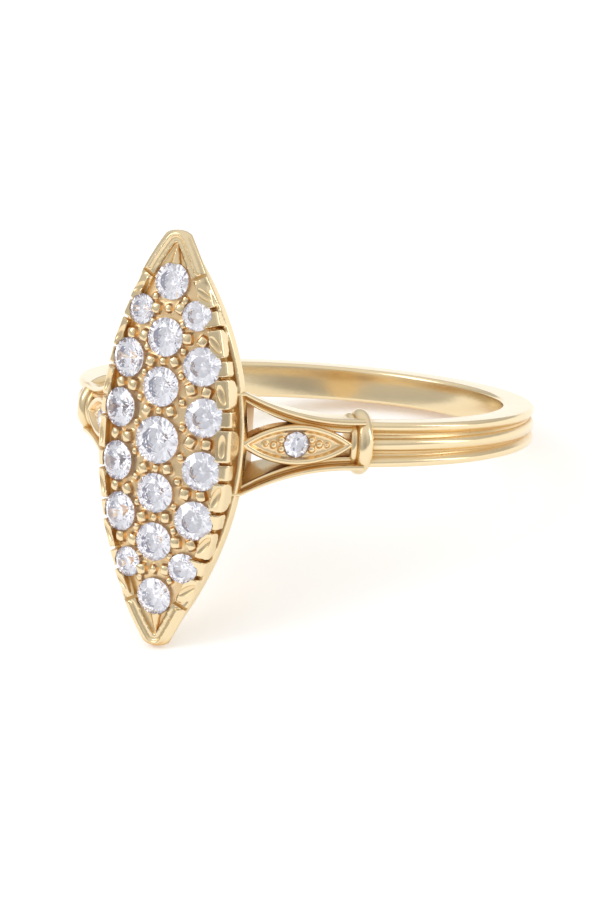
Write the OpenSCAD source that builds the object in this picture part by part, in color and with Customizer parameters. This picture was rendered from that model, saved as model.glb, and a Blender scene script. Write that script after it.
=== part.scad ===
// A navette cluster ring: a domed pointed-oval head of nineteen small brilliants in gold,
// split shoulders that each hold a leaf with one small stone, collars and a reeded shank.
// It lies on its side, on the lower tip of the head and the back edge of the shank.

/* [Finger] */
// Diameter of the finger hole
finger_d = 17.2; // [15:0.1:21]

/* [Shank] */
// Distance from the finger hole to the crest of the reeds
shank_t = 1.4; // [1.2:0.05:2]
// Width of the shank beside the collars
shank_w_front = 2; // [1.8:0.02:2.4]
// Width of the shank at the back
shank_w_back = 1.42; // [1.36:0.02:1.8]
// Diameter of the reed along each edge
edge_reed_d = 0.4; // [0.34:0.02:0.42]
// Diameter of the reed along the middle
mid_reed_d = 0.5; // [0.4:0.02:0.52]
// Depth of the grooves between the reeds
groove_t = 0.26; // [0.1:0.02:0.3]

/* [Collars] */
// Angle from the head to each collar, round the finger hole
collar_angle = 43.5; // [41:0.5:50]
// Height of a collar along the finger hole
collar_h = 2.9; // [2.6:0.05:3.6]
// Length of a collar round the shank
collar_w = 1.0; // [0.7:0.05:1.3]
// Height of a collar over the crest of the reeds
collar_lift = 0.4; // [0.2:0.05:0.8]

/* [Head] */
// Distance from the finger hole to the top of the metal dome
head_h = 4.6; // [4.2:0.1:6]
// Width of the head across its middle
head_w = 6.3; // [6.3:0.1:7]
// Length of the head from tip to tip
head_l = 18.3; // [18.3:0.1:19.5]
// Radius of each tip, seen from the front
tip_r = 0.6; // [0.4:0.05:0.8]
// Thickness of the head at its middle
head_t = 2.2; // [1.9:0.05:2.5]
// Thickness of the head at its tips
tip_t = 0.45; // [0.35:0.05:0.6]
// Radius of the boat-shaped underside, along the head
under_r = 26; // [24:1:40]
// Radius of the dome across the head
dome_cross_r = 7; // [6:0.25:12]
// Radius of the dome along the head
dome_long_r = 46; // [40:1:80]

/* [Rim] */
// Width of the raised rim, seen from the front
rim_w = 0.55; // [0.4:0.05:0.6]
// Height of the rim over the dome
rim_lift = 0.3; // [0.15:0.01:0.4]
// Width of a claw beside a side stone
claw_w = 0.72; // [0.5:0.02:0.9]
// Width of the slots between claws and lobes
slot_w = 0.12; // [0.08:0.01:0.2]
// Height of the smooth rail under the rim
rail_h = 0.6; // [0.4:0.05:0.7]
// Reach of the rail past the rim
rail_out = 0.15; // [0.05:0.01:0.2]
// Height of the groove between the rail and the rim
rim_groove_h = 0.2; // [0.1:0.02:0.3]
// Depth of that groove
rim_groove_t = 0.14; // [0.05:0.01:0.25]
// Height over the groove at which the claws end
claw_foot_h = 0.4; // [0.2:0.05:0.5]

/* [Gallery] */
// Height of the gallery along the finger hole
gallery_h = 4.6; // [4.4:0.1:5]
// Width of the gallery at the finger hole
gallery_w_bottom = 4.3; // [4:0.1:5]
// Width of the gallery under the head
gallery_w_top = 6; // [5.6:0.1:6.2]
// Thickness of the gallery's walls
gallery_wall = 0.55; // [0.4:0.05:0.8]

/* [Shoulders] */
// Height over both wires at the collar
fork_h = 2.25; // [2.1:0.05:2.5]
// Width of the gap between the wires at the collar
fork_gap = 1; // [0.8:0.05:1.2]
// Height of a wire where it meets the head
wire_h = 0.42; // [0.36:0.02:0.6]
// Distance that the wires lie below the leaf's face
wire_drop = 0.25; // [0.1:0.05:0.4]
// Width of a leaf
leaf_w = 1.78; // [1.7:0.02:2]
// Thickness of a leaf
leaf_t = 1.1; // [0.9:0.05:1.3]
// Width of a leaf's frame
leaf_frame_w = 0.24; // [0.18:0.01:0.3]
// Depth of the field inside the frame
leaf_recess_t = 0.24; // [0.15:0.01:0.3]

/* [Stones] */
// Diameter of the middle stone
mid_stone_d = 2.1; // [1.9:0.02:2.14]
// Diameter of the two stones beside it on the long axis
near_stone_d = 1.76; // [1.6:0.02:1.8]
// Diameter of the next two stones on the long axis
far_stone_d = 1.72; // [1.5:0.02:1.76]
// Diameter of the stones at the tips
tip_stone_d = 1.64; // [1.4:0.02:1.68]
// Diameter of the four inner stones in each side row
side_stone_d = 1.74; // [1.6:0.02:1.76]
// Diameter of the end stones in each side row
side_end_stone_d = 1.34; // [1.2:0.02:1.36]
// Diameter of a shoulder stone
shoulder_stone_d = 1.16; // [1:0.02:1.2]
// Height of the girdle over the dome at a stone's centre
girdle_lift = 0.06; // [0:0.01:0.1]
// Gap between a stone and its seat
seat_gap = 0.03; // [0.02:0.005:0.05]

/* [Grains] */
// Diameter of the grains between the head's stones
grain_d = 0.44; // [0.3:0.02:0.48]
// Height of the grains over the dome
grain_lift = 0.2; // [0.1:0.01:0.24]
// Diameter of the grains beside a shoulder stone
leaf_grain_d = 0.3; // [0.2:0.02:0.34]
// Distance between grains in a leaf
leaf_grain_pitch = 0.36; // [0.34:0.02:0.4]
// Distance of the outer grains past the line of the side stones
grain_out = 0.1; // [0:0.02:0.2]

/* [Hidden] */

gold = [0.86, 0.68, 0.38];
diamond = [0.93, 0.94, 0.98];
$fn = 96;
eps = 0.01;
grain_bite = 0.02;

// The ring's own frame: +X out through the head, +Z along the finger hole to the upper tip,
// with the right shoulder at +Y. It is tilted to lie at rest at the very end.
finger_r = finger_d / 2;
dome_x = finger_r + head_h;
back_x = dome_x - head_t;

// Places of the stones along and across the head, as shares of its length and width
centre_shares = [0.378, 0.2455, 0.1275, 0];
side_long_shares = [0.304, 0.186, 0.0645];
side_cross_shares = [0.2155, 0.289, 0.33];
centre_d = [tip_stone_d, far_stone_d, near_stone_d, mid_stone_d];
side_d = [side_end_stone_d, side_stone_d, side_stone_d];
function mirrored(i, last) = min(i, last - i);
function centre_z(i) = (i <= 3 ? 1 : -1) * centre_shares[mirrored(i, 6)] * head_l;
function side_z(i) = (i <= 2 ? 1 : -1) * side_long_shares[mirrored(i, 5)] * head_l;
function side_y(i) = side_cross_shares[mirrored(i, 5)] * head_w;
function centre_stone(i) = [0, centre_z(i), centre_d[mirrored(i, 6)]];
function side_stone(i, side) = [side * side_y(i), side_z(i), side_d[mirrored(i, 5)]];
head_stones = concat(
    [for (i = [0:6]) centre_stone(i)],
    [for (i = [0:5]) side_stone(i, -1)],
    [for (i = [0:5]) side_stone(i, 1)]
);

// Proportions of a brilliant, as shares of its diameter
table_share = 0.56;
crown_share = 0.15;
girdle_share = 0.03;
pavilion_share = 0.42;
star_share = 0.5;
lower_share = 0.22;
hole_share = 0.42;

// Outline of the head: two arcs that meet in rounded tips
half_w = head_w / 2;
half_l = head_l / 2;
outline_r = (half_w * half_w - tip_r * tip_r + (half_l - tip_r) * (half_l - tip_r))
    / (2 * (half_w - tip_r));
outline_y = outline_r - half_w;
tip_z = half_l - tip_r;
tip_over = 0.02;
tip_slot_over = 0.37;
groove_h = rail_h + rim_groove_h;
rim_x = back_x + groove_h;
tip_slot_z = centre_shares[0] * head_l + tip_slot_over;
function ridge_x(lift, z) = dome_x - dome_long_r
    + sqrt(pow(dome_long_r + lift, 2) - z * z);

// The shoulder's line runs from the head's wall to the collar
leaf_start = [back_x + 0.45, half_w + rail_out];
collar_reach = finger_r + shank_t + 0.2;
leaf_end_angle = collar_angle - asin(collar_w / 2 / collar_reach);
leaf_end = collar_reach * [cos(leaf_end_angle), sin(leaf_end_angle)];
leaf_run = leaf_end - leaf_start;
leaf_l = norm(leaf_run);
leaf_turn = atan2(leaf_run[1], leaf_run[0]);
leaf_half_w = leaf_w / 2;
leaf_r = (leaf_half_w * leaf_half_w + leaf_l * leaf_l / 4) / leaf_w;
function leaf_grain_place(i) = (shoulder_stone_d + leaf_grain_d) / 2 - grain_bite
    + i * leaf_grain_pitch;
fork_reach = 4.3;
fork_root = 0.6;
fork_steps = 14;
fork_flare_out = 2;
fork_flare_in = 2;

// The shank's edge reeds lie in two planes that lean together towards the back
shank_r = finger_r + shank_t;
edge_r = shank_r - edge_reed_d / 2;
web_r = shank_r - groove_t;
collar_x = shank_r * cos(collar_angle);
edge_z_front = (shank_w_front - edge_reed_d) / 2;
edge_z_back = (shank_w_back - edge_reed_d) / 2;
edge_lean = atan((edge_z_front - edge_z_back) / (collar_x + shank_r));
edge_z_mid = edge_z_back + shank_r * tan(edge_lean);
shank_span = 360 - 2 * collar_angle;
reed_root = 0.5;
web_bite = 0.2;

// At rest the ring leans on the lower tip's back edge and the shank's back edge
rest_dx = ridge_x(rim_lift - tip_t, half_l) + edge_r;
rest_dz = half_l + tip_over - edge_z_back;
rest_tilt = atan2(rest_dz, rest_dx) - asin(edge_reed_d / 2 / norm([rest_dx, rest_dz]));
rest_z = edge_r * sin(rest_tilt) + edge_z_back * cos(rest_tilt) + edge_reed_d / 2;
rest_front = ridge_x(rim_lift, half_l) * cos(rest_tilt) + half_l * sin(rest_tilt);
rest_back = edge_r * cos(rest_tilt) + edge_z_back * sin(rest_tilt) + edge_reed_d / 2;
rest_x = (rest_back - rest_front) / 2;

module at_rest() {
    translate([rest_x, 0, rest_z]) rotate([0, -rest_tilt, 0]) children();
}

// Carries a flat outline in the head's plane to a prism that runs through the head
module head_prism() {
    prism_l = head_t + rim_lift + 1;
    translate([back_x - 0.5, 0, 0]) rotate([90, 0, 90]) linear_extrude(prism_l) children();
}

module pointed_oval(grow) {
    intersection_for (side = [-1, 1])
        translate([side * outline_y, 0]) circle(outline_r + grow, $fn = 240);
}

module head_outline(grow) {
    touch_z = outline_r * tip_z / (outline_r - tip_r);
    intersection() {
        pointed_oval(grow);
        translate([-head_w, -touch_z]) square([2 * head_w, 2 * touch_z]);
    }
    for (side = [-1, 1])
        translate([0, side * tip_z]) circle(tip_r + grow + tip_over, $fn = 48);
}

// A domed solid whose crown lies the given lift over the metal dome
module dome(lift) {
    reach = head_h;
    half_span = asin((half_l + 1) / dome_long_r);
    translate([dome_x - dome_long_r, 0, 0])
        rotate([90, 0, 0]) rotate([0, 0, -half_span])
            rotate_extrude(angle = 2 * half_span, $fn = 180)
                intersection() {
                    translate([dome_long_r - dome_cross_r + lift, 0]) circle(dome_cross_r);
                    translate([dome_long_r - reach, -half_w - 1])
                        square([reach + 1, head_w + 2]);
                }
}

// Frame of a stone or grain: z points out of the dome at a place on the head
module on_dome(y, z) {
    lean_y = asin(y / dome_cross_r);
    lean_z = asin(z / dome_long_r);
    ridge = dome_long_r - dome_cross_r * (1 - cos(lean_y));
    translate([dome_x - dome_long_r + ridge * cos(lean_z), y, ridge * sin(lean_z)])
        rotate([0, -lean_z, 0]) rotate([0, 0, lean_y]) rotate([0, 90, 0]) children();
}

// Frame of a place on the rim: x out of the head, y outwards, z along the rim
module on_rim(side, z) {
    turn = asin(z / outline_r);
    mirror([0, side < 0 ? 1 : 0, 0])
        translate([0, -outline_y, 0]) rotate([turn, 0, 0]) translate([0, outline_r, 0]) children();
}

// A cavity that follows the stone's back with a gap, and a hole behind it
module seat(d, depth) {
    top_r = d / 2 + seat_gap;
    hole_r = d * hole_share / 2;
    pavilion_h = d * pavilion_share;
    cone_h = (1 - hole_r / top_r) * pavilion_h;
    translate([0, 0, -seat_gap]) cylinder(h = d, r = top_r, $fn = 48);
    translate([0, 0, -seat_gap - cone_h]) cylinder(h = cone_h, r1 = hole_r, r2 = top_r, $fn = 48);
    translate([0, 0, -depth]) cylinder(h = depth, r = hole_r, $fn = 32);
}

module head_seats() {
    for (s = head_stones)
        on_dome(s[0], s[1]) translate([0, 0, girdle_lift - s[2] * girdle_share / 2]) seat(s[2], head_t);
}

// Slots beside each claw, and the hollow under it
module rim_cuts() {
    slot_in = rim_w + 0.05;
    for (side = [-1, 1]) {
        for (i = [0:5]) on_rim(side, side_z(i)) {
            for (edge = [-1, 1])
                translate([rim_x, -slot_in, edge * claw_w / 2 - slot_w / 2])
                    cube([head_t, slot_in + 1, slot_w]);
            translate([rim_x - eps, -rim_groove_t, -claw_w / 2]) cube([claw_foot_h, 1, claw_w]);
        }
        for (z = [-1, 1])
            on_rim(side, z * tip_slot_z) translate([rim_x, -slot_in, -slot_w / 2])
                cube([head_t, slot_in + 1, slot_w]);
    }
}

module grain_at(y, z) {
    on_dome(y, z) translate([0, 0, grain_lift - grain_d / 2]) {
        sphere(d = grain_d, $fn = 32);
        translate([0, 0, -grain_d]) cylinder(h = grain_d, d = grain_d, $fn = 32);
    }
}

// The middle of the gap between three stones, or between two
function between(a, b, c) = let (
    u = [a[0], a[1]],
    v = [b[0], b[1]],
    w = [c[0], c[1]],
    weight = [1 / a[2], 1 / b[2], 1 / c[2]]
) (u * weight[0] + v * weight[1] + w * weight[2]) / (weight[0] + weight[1] + weight[2]);

module grains() {
    for (side = [-1, 1]) {
        for (i = [0:4]) {
            a = side_stone(i, side);
            b = side_stone(i + 1, side);
            c = centre_stone(i + 1);
            inner = between(a, b, c);
            grain_at(inner[0], inner[1]);
            grain_at((a[0] + b[0]) / 2 + side * grain_out, (a[1] + b[1]) / 2);
        }
        for (i = [0:5]) {
            p = between(centre_stone(i), centre_stone(i + 1), side_stone(i, side));
            grain_at(p[0], p[1]);
        }
    }
}

// A small bright-cut spike that points into each tip
module tip_spikes() {
    spike_w = 0.5;
    spike_sink = 0.1;
    root = centre_shares[0] * head_l + tip_stone_d / 2 + seat_gap + spike_sink / 2;
    spike_l = half_l - rim_w - root;
    for (side = [-1, 1])
        on_dome(0, side * root)
            translate([0, 0, -spike_sink]) rotate([0, 0, side > 0 ? 180 : 0])
                linear_extrude(spike_sink + rim_lift / 2)
                    polygon([[0, -spike_w / 2], [spike_l, 0], [0, spike_w / 2]]);
}

// Everything out from the underside, which curves up to the tips, by a height
module over_underside(h) {
    translate([back_x + under_r, 0, 0]) rotate([90, 0, 0])
        cylinder(h = head_w * 2, r = under_r - h, center = true, $fn = 360);
}

// The smooth groove between the rail and the rim, clear of the tips
module rim_groove() {
    groove_l = 2 * tip_slot_z;
    intersection() {
        difference() {
            head_prism() head_outline(1);
            head_prism() head_outline(-rim_groove_t);
        }
        difference() {
            over_underside(rail_h);
            over_underside(groove_h);
        }
        translate([back_x, -head_w, -groove_l / 2]) cube([head_t, 2 * head_w, groove_l]);
    }
}

module head_plate() {
    intersection() {
        head_prism() head_outline(0);
        dome(0);
        over_underside(0);
    }
    intersection() {
        head_prism() head_outline(rail_out);
        dome(0);
        difference() {
            over_underside(0);
            over_underside(rail_h);
        }
    }
    difference() {
        intersection() {
            head_prism() head_outline(0);
            dome(rim_lift);
        }
        dome(rim_lift - tip_t);
        head_prism() pointed_oval(-rim_w);
    }
    difference() {
        intersection() {
            head_prism() head_outline(-eps);
            dome(0);
        }
        dome(rim_lift - tip_t);
    }
}

module head() {
    difference() {
        union() {
            head_plate();
            grains();
            tip_spikes();
        }
        head_seats();
        rim_groove();
        rim_cuts();
    }
}

// Outline, seen along the finger hole, of the gallery walls that taper in to the finger
module gallery_outline(inset, top_x) {
    taper = (gallery_w_top - gallery_w_bottom) / 2 / (back_x - finger_r);
    foot = 1;
    foot_y = gallery_w_bottom / 2 - foot * taper - inset;
    top_y = gallery_w_top / 2 - (back_x - top_x) * taper - inset;
    polygon([
        [finger_r - foot, -foot_y], [top_x, -top_y], [top_x, top_y], [finger_r - foot, foot_y]
    ]);
}

// The block under the head, whose ends follow the wires of both shoulders
module gallery() {
    intersection() {
        translate([0, 0, -gallery_h / 2]) linear_extrude(gallery_h)
            gallery_outline(0, back_x + eps);
        fork_envelope();
        mirror([0, 1, 0]) fork_envelope();
    }
}

module gallery_hollow() {
    inner_h = gallery_h - 2 * wire_h;
    translate([0, 0, -inner_h / 2]) linear_extrude(inner_h) gallery_outline(gallery_wall, back_x);
}

// Frame of a shoulder: x from the head to the collar, y along the finger hole, z out of the leaf
module on_shoulder() {
    translate([leaf_start[0], leaf_start[1], 0]) rotate([90, 0, leaf_turn]) children();
}

function fork_out(s) = fork_h / 2 + (gallery_h - fork_h) / 2 * pow(1 - s, fork_flare_out);
function fork_in(s) = fork_gap / 2
    + (gallery_h / 2 - wire_h - fork_gap / 2) * pow(1 - s, fork_flare_in);

function fork_line(from_head, edge_y) = [
    for (i = [0:fork_steps]) let (s = from_head ? i / fork_steps : 1 - i / fork_steps)
        [s * leaf_l, edge_y(s)]
];

// The two wires of a split shoulder, cut as one flat fork
module fork() {
    for (side = [-1, 1])
        mirror([0, side < 0 ? 1 : 0, 0])
            polygon(concat(
                [[-fork_root, gallery_h / 2]], fork_line(true, function(s) fork_out(s)),
                [[leaf_l + fork_root, fork_h / 2], [leaf_l + fork_root, fork_gap / 2]],
                fork_line(false, function(s) fork_in(s)), [[-fork_root, gallery_h / 2 - wire_h]]
            ));
}

// Everything between the outer edges of a fork's wires, carried on through the gallery
module fork_envelope() {
    upper = concat([[-head_w, gallery_h / 2]], fork_line(true, function(s) fork_out(s)));
    lower = [for (i = [len(upper) - 1:-1:0]) [upper[i][0], -upper[i][1]]];
    on_shoulder() translate([0, 0, -2 * head_w]) linear_extrude(3 * head_w)
        polygon(concat(upper, lower));
}

module leaf_shape(inset) {
    translate([leaf_l / 2, 0])
        intersection_for (side = [-1, 1])
            translate([0, side * (leaf_r - leaf_half_w)]) circle(leaf_r - inset, $fn = 180);
}

module leaf() {
    field_z = -leaf_recess_t;
    difference() {
        union() {
            difference() {
                translate([0, 0, -leaf_t]) linear_extrude(leaf_t) leaf_shape(0);
                translate([0, 0, field_z]) linear_extrude(1) leaf_shape(leaf_frame_w);
            }
            for (side = [-1, 1])
                for (i = [0:2])
                    translate([leaf_l / 2 + side * leaf_grain_place(i), 0, field_z])
                        sphere(d = leaf_grain_d, $fn = 32);
        }
        translate([leaf_l / 2, 0, field_z + shoulder_stone_d * girdle_share])
            seat(shoulder_stone_d, leaf_t + 1);
    }
}

module shoulder() {
    on_shoulder() {
        translate([0, 0, -fork_reach]) linear_extrude(fork_reach - wire_drop) fork();
        leaf();
    }
}

// A reed along an edge of the shank, with its root down to the finger hole
module edge_reed() {
    translate([edge_r, 0]) circle(d = edge_reed_d);
    translate([finger_r - reed_root, -edge_reed_d / 2])
        square([edge_r - finger_r + reed_root, edge_reed_d]);
}

module shank_arc() {
    rotate([0, 0, collar_angle]) rotate_extrude(angle = shank_span, $fn = 180) children();
}

// Frame of the leaning plane that an edge reed lies in
module on_edge(side) {
    translate([0, 0, side * edge_z_mid]) rotate([0, -side * edge_lean, 0]) children();
}

module mid_reed() {
    mid_r = shank_r - mid_reed_d / 2;
    translate([mid_r, 0]) circle(d = mid_reed_d);
    translate([web_r - web_bite, -mid_reed_d / 2]) square([mid_r - web_r + web_bite, mid_reed_d]);
}

// The floor of the grooves, between the planes of the two edge reeds
module web() {
    intersection() {
        shank_arc() translate([finger_r - web_bite, -collar_h / 2])
            square([web_r - finger_r + web_bite, collar_h]);
        intersection_for (side = [-1, 1])
            on_edge(side) translate([0, 0, -side * (collar_h / 2 + web_bite / 4)])
                cube([3 * shank_r, 3 * shank_r, collar_h], center = true);
    }
}

module shank() {
    for (side = [-1, 1])
        on_edge(side) shank_arc() edge_reed();
    shank_arc() mid_reed();
    web();
}

// A domed ring round the shank, whose inner part the finger hole cuts away
module collar() {
    r = collar_h / 2;
    bead_r = collar_w / 2;
    rotate([0, 0, collar_angle]) translate([shank_r + collar_lift - r, 0, 0]) rotate([90, 0, 0])
        rotate_extrude() {
            translate([r - bead_r, 0]) circle(bead_r, $fn = 48);
            translate([0, -bead_r]) square([r - bead_r, collar_w]);
        }
}

// All the soldered metal
module mount() {
    color(gold) difference() {
        union() {
            head();
            gallery();
            shoulder();
            mirror([0, 1, 0]) shoulder();
            shank();
            collar();
            mirror([0, 1, 0]) collar();
        }
        gallery_hollow();
        cylinder(h = head_l + 2, r = finger_r, center = true, $fn = 180);
    }
}

function ring(n, r, z, turn) = [for (i = [0:n - 1])
    [r * cos(360 / n * i + turn), r * sin(360 / n * i + turn), z]];

// A round brilliant on its girdle, with a table and stars, kites and girdle facets
module brilliant(d) {
    girdle_h = d * girdle_share;
    crown_h = d * crown_share;
    pavilion_h = d * pavilion_share;
    table_r = d * table_share / 2;
    kite_r = table_r + (d / 2 - table_r) * star_share;
    step = 360 / 16;
    points = concat(
        ring(8, table_r, girdle_h / 2 + crown_h, step),
        ring(8, kite_r, girdle_h / 2 + crown_h * (1 - star_share) * 1.06, 0),
        ring(16, d / 2, girdle_h / 2, 0),
        ring(16, d / 2, -girdle_h / 2, 0),
        ring(8, d / 2 * lower_share, -girdle_h / 2 - pavilion_h * (1 - lower_share), step),
        [[0, 0, -girdle_h / 2 - pavilion_h]]
    );
    table = [[for (i = [0:7]) i]];
    stars = [for (i = [0:7]) [i, (i + 7) % 8, 8 + i]];
    kites = [for (i = [0:7]) each [
        [i, 8 + i, 16 + (2 * i + 1) % 16],
        [i, 16 + (2 * i + 1) % 16, 8 + (i + 1) % 8]
    ]];
    uppers = [for (i = [0:7]) each [
        [8 + i, 16 + 2 * i, 16 + (2 * i + 1) % 16],
        [8 + i, 16 + (2 * i + 15) % 16, 16 + 2 * i]
    ]];
    girdle = [for (i = [0:15]) each [
        [16 + i, 32 + i, 32 + (i + 1) % 16],
        [16 + i, 32 + (i + 1) % 16, 16 + (i + 1) % 16]
    ]];
    lowers = [for (i = [0:7]) each [
        [48 + i, 32 + 2 * i + 1, 32 + 2 * i],
        [48 + i, 32 + (2 * i + 2) % 16, 32 + 2 * i + 1],
        [48 + i, 32 + 2 * i, 48 + (i + 7) % 8],
        [48 + i, 48 + (i + 7) % 8, 56]
    ]];
    flipped = [for (f = concat(table, stars, kites, uppers, girdle, lowers))
        [for (i = [len(f) - 1:-1:0]) f[i]]];
    polyhedron(points, flipped);
}

// A single cut: a table with eight facets round it and eight below
module single_cut(d) {
    girdle_h = d * girdle_share;
    points = concat(
        ring(8, d * table_share / 2, girdle_h / 2 + d * crown_share, 0),
        ring(8, d / 2, girdle_h / 2, 0),
        ring(8, d / 2, -girdle_h / 2, 0),
        [[0, 0, -girdle_h / 2 - d * pavilion_share]]
    );
    sides = [for (row = [0, 8]) for (i = [0:7]) each [
        [row + i, row + 8 + i, row + 8 + (i + 1) % 8],
        [row + i, row + 8 + (i + 1) % 8, row + (i + 1) % 8]
    ]];
    points_down = [for (i = [0:7]) [16 + i, 24, 16 + (i + 1) % 8]];
    flipped = [for (f = concat([[for (i = [0:7]) i]], sides, points_down))
        [for (i = [len(f) - 1:-1:0]) f[i]]];
    polyhedron(points, flipped);
}

module head_stone(s) {
    color(diamond) on_dome(s[0], s[1]) translate([0, 0, girdle_lift]) brilliant(s[2]);
}

module shoulder_stone() {
    girdle_h = shoulder_stone_d * girdle_share;
    color(diamond) on_shoulder()
        translate([leaf_l / 2, 0, -leaf_recess_t + girdle_h * 1.5]) single_cut(shoulder_stone_d);
}

at_rest() mount();
at_rest() head_stone(centre_stone(0));  // centre_stone_1
at_rest() head_stone(centre_stone(1));  // centre_stone_2
at_rest() head_stone(centre_stone(2));  // centre_stone_3
at_rest() head_stone(centre_stone(3));  // centre_stone_4
at_rest() head_stone(centre_stone(4));  // centre_stone_5
at_rest() head_stone(centre_stone(5));  // centre_stone_6
at_rest() head_stone(centre_stone(6));  // centre_stone_7
at_rest() head_stone(side_stone(0, -1));  // left_stone_1
at_rest() head_stone(side_stone(1, -1));  // left_stone_2
at_rest() head_stone(side_stone(2, -1));  // left_stone_3
at_rest() head_stone(side_stone(3, -1));  // left_stone_4
at_rest() head_stone(side_stone(4, -1));  // left_stone_5
at_rest() head_stone(side_stone(5, -1));  // left_stone_6
at_rest() head_stone(side_stone(0, 1));  // right_stone_1
at_rest() head_stone(side_stone(1, 1));  // right_stone_2
at_rest() head_stone(side_stone(2, 1));  // right_stone_3
at_rest() head_stone(side_stone(3, 1));  // right_stone_4
at_rest() head_stone(side_stone(4, 1));  // right_stone_5
at_rest() head_stone(side_stone(5, 1));  // right_stone_6
at_rest() mirror([0, 1, 0]) shoulder_stone();  // shoulder_stone_left
at_rest() shoulder_stone();  // shoulder_stone_right
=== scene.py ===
# %% [markdown]
# # A navette cluster ring
# The ring is a long domed head of nineteen small brilliants, held between two split shoulders
# that each frame a leaf with one more stone. It lies on its side on a pale table, on the lower
# tip of the head and the back edge of the shank. The solids say where everything goes. This
# lesson makes the goldsmith's version of the metal over them, and gives the stones their fire.

# %% Loading the solids
import math

import bpy
from mathutils import Matrix, Vector


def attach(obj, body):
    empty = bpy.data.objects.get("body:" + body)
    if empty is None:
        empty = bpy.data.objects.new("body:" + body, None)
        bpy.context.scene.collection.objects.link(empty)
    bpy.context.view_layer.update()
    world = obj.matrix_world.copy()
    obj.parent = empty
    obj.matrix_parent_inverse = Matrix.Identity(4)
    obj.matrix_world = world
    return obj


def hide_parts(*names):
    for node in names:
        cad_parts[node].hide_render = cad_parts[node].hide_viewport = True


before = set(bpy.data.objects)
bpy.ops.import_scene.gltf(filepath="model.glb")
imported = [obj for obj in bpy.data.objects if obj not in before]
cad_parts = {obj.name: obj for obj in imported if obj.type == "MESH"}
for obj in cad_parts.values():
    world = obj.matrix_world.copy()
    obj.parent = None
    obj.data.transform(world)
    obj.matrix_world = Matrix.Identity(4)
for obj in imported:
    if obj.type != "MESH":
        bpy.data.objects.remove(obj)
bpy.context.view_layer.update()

# %% [markdown]
# ## The bench
# A ring is easier to make upright than lying down. So every piece is modelled in millimetres on
# a bench where X points out through the head, Z points along the finger hole to the upper tip,
# and the right shoulder lies towards Y. When a piece is done it is tilted, moved and scaled to
# metres in one step, and the step is applied, so its object ends at the origin, unturned.

# %% Bench and table
MM = 0.001
TILT = math.radians(21.0647)
REST = Vector((-2.75302, 0, 4.19825))
BENCH_TO_TABLE = (Matrix.Translation(REST * MM) @ Matrix.Rotation(-TILT, 4, "Y")
                  @ Matrix.Scale(MM, 4))
SAME_POINT = 0.0002


def choose(*pieces):
    """Select only these objects, the first of them active."""
    bpy.ops.object.select_all(action="DESELECT")
    for piece in pieces:
        piece.select_set(True)
    bpy.context.view_layer.objects.active = pieces[0]


def edit(piece, mode="VERT"):
    """Open a piece in edit mode with nothing selected."""
    choose(piece)
    bpy.ops.object.mode_set(mode="EDIT")
    bpy.ops.mesh.select_mode(type=mode)
    bpy.ops.mesh.select_all(action="DESELECT")


def edit_all(piece, mode="VERT"):
    """Open a piece in edit mode with everything selected."""
    edit(piece, mode)
    bpy.ops.mesh.select_all(action="SELECT")


def close():
    """Leave edit mode."""
    bpy.ops.object.mode_set(mode="OBJECT")


def pick(piece, test, part="vertices"):
    """Select only the vertices, edges or faces that pass a test."""
    bpy.ops.mesh.select_all(action="DESELECT")
    bpy.ops.object.mode_set(mode="OBJECT")
    for item in getattr(piece.data, part):
        item.select = test(item)
    bpy.ops.object.mode_set(mode="EDIT")


def newest(name):
    """Name the object that was just made, and its mesh."""
    piece = bpy.context.object
    piece.name = name
    piece.data.name = name
    return piece


def apply_all(piece):
    """Apply the piece's modifiers in order."""
    choose(piece)
    for modifier in list(piece.modifiers):
        bpy.ops.object.modifier_apply(modifier=modifier.name)


def place(piece, matrix):
    """Move a piece on the bench and apply the move."""
    piece.matrix_world = matrix @ piece.matrix_world
    choose(piece)
    bpy.ops.object.transform_apply(location=True, rotation=True, scale=True)
    return piece


def copy_of(piece, name):
    """A copy with its own mesh."""
    choose(piece)
    bpy.ops.object.duplicate(linked=False)
    return newest(name)


def join(pieces, name):
    """Make one object of several, without changing their faces."""
    choose(*pieces)
    if len(pieces) > 1:
        bpy.ops.object.join()
    return newest(name)


def boolean(piece, tool, operation, keep_tool=False):
    """Cut a piece with a tool, or keep only what both share."""
    modifier = piece.modifiers.new("cut", "BOOLEAN")
    modifier.operation = operation
    modifier.solver = "EXACT"
    modifier.object = tool
    apply_all(piece)
    if not keep_tool:
        bpy.data.objects.remove(tool, do_unlink=True)


def fix_normals(piece):
    """Merge points that lie on top of each other and turn all faces outwards."""
    edit_all(piece)
    bpy.ops.mesh.remove_doubles(threshold=SAME_POINT)
    bpy.ops.mesh.normals_make_consistent(inside=False)
    close()


def smooth(piece, angle):
    """Shade a piece smooth, but keep edges sharper than an angle in degrees."""
    choose(piece)
    bpy.ops.object.shade_smooth_by_angle(angle=math.radians(angle))


def draw(name, points, closed=True):
    """A line drawn through points, as a mesh of edges."""
    bpy.ops.object.select_all(action="DESELECT")
    bpy.ops.curve.primitive_bezier_curve_add(location=(0, 0, 0))
    line = bpy.context.object.data
    line.splines.clear()
    line.dimensions = "3D"
    spline = line.splines.new("POLY")
    spline.points.add(len(points) - 1)
    for spot, point in zip(spline.points, points):
        spot.co = (*point, 1)
    spline.use_cyclic_u = closed
    bpy.ops.object.convert(target="MESH")
    return newest(name)


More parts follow.
